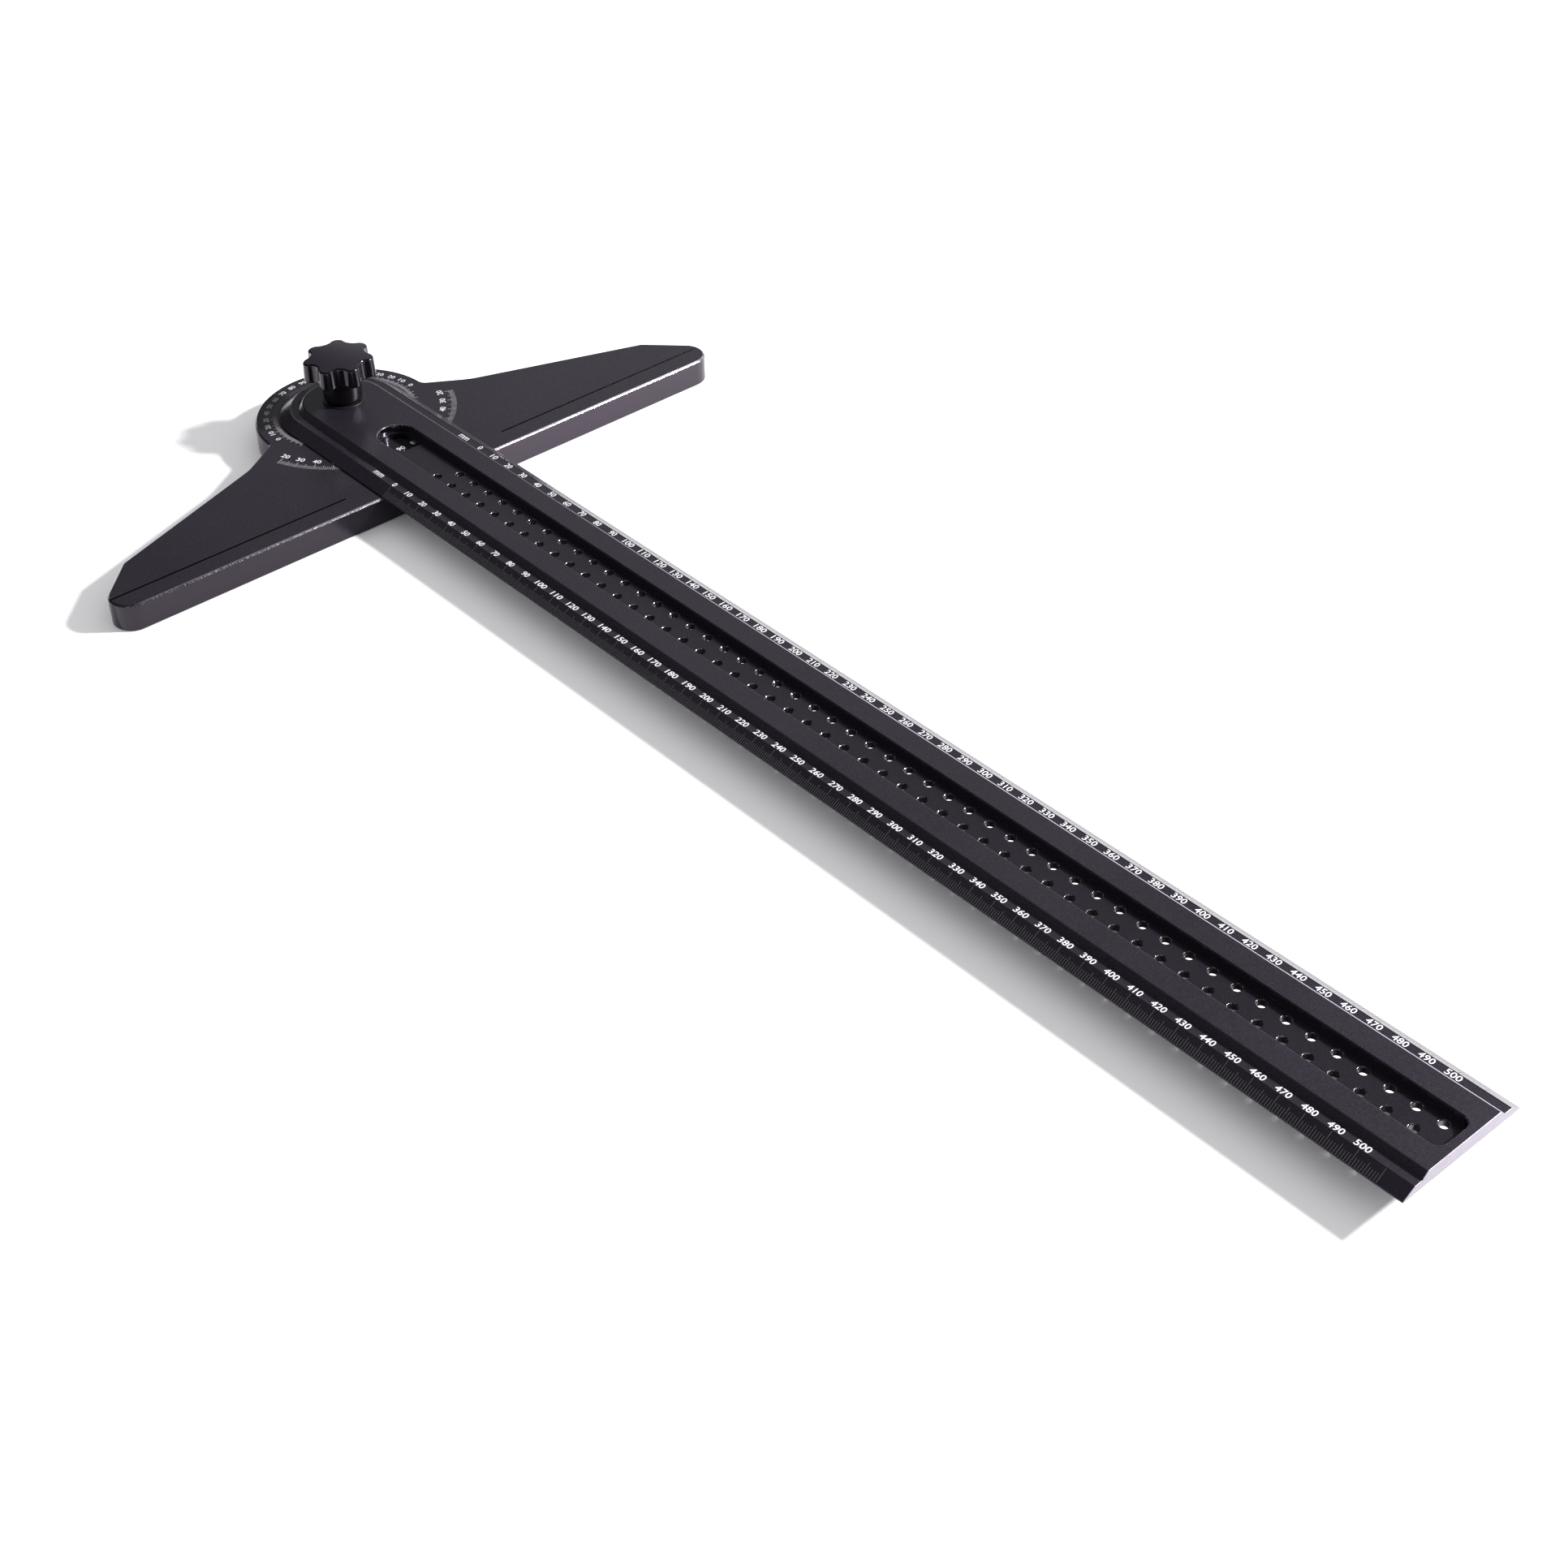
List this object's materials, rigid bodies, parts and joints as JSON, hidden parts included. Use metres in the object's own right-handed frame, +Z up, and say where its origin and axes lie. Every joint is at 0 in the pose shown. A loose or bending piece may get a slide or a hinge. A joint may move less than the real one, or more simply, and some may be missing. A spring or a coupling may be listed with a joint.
{
  "type": "t square",
  "caption": "T square with a swinging bevel-edged millimetre rule, a two-winged stock with a straight fence, a protractor scale and a star knob that locks the blade at an angle.",
  "frame": {"origin": "on the pivot axis, at the underside of the head, where the tool rests", "axes": "+X along the blade to its free end, square to the fence; +Y across the blade, along the fence; +Z up, out of the marked face"},
  "size_m": [0.6285, 0.2994, 0.0402],
  "materials": {
    "head_anodised": "satin",
    "blade_anodised": "satin",
    "zinc_steel": "satin",
    "bronze": "satin",
    "nylon": "matte",
    "black_steel": "satin",
    "knob_plastic": "gloss",
    "insert_brass": "satin",
    "marking_white": "matte",
    "bare_aluminium": "satin"
  },
  "bodies": {
    "head": {"head_plate": "head_anodised", "pivot_bolt": "zinc_steel", "friction_washer": "nylon"},
    "blade": {"ruler_blade": "blade_anodised", "pivot_bush": "bronze"},
    "washer": {"flat_washer": "black_steel"},
    "knob": {"knob_body": "knob_plastic", "knob_insert": "insert_brass"}
  },
  "joints": [
    {"name": "blade_swing", "type": "hinge", "parent": "head", "child": "blade", "pos_m": [0, 0, 0.0151], "axis": [0, 0, 1], "range_deg": [-70, 70]},
    {"name": "knob_lift", "type": "slide", "parent": "head", "child": "washer", "axis": [0, 0, 1], "range_m": [0, 0.002]},
    {"name": "knob_turn", "type": "hinge", "parent": "washer", "child": "knob", "pos_m": [0, 0, 0.0187], "axis": [0, 0, 1], "range_deg": [0, 720]}
  ],
  "couplings": [
    {"joint": "knob_turn", "follows": "knob_lift", "rad_per_m": 6283.2}
  ]
}
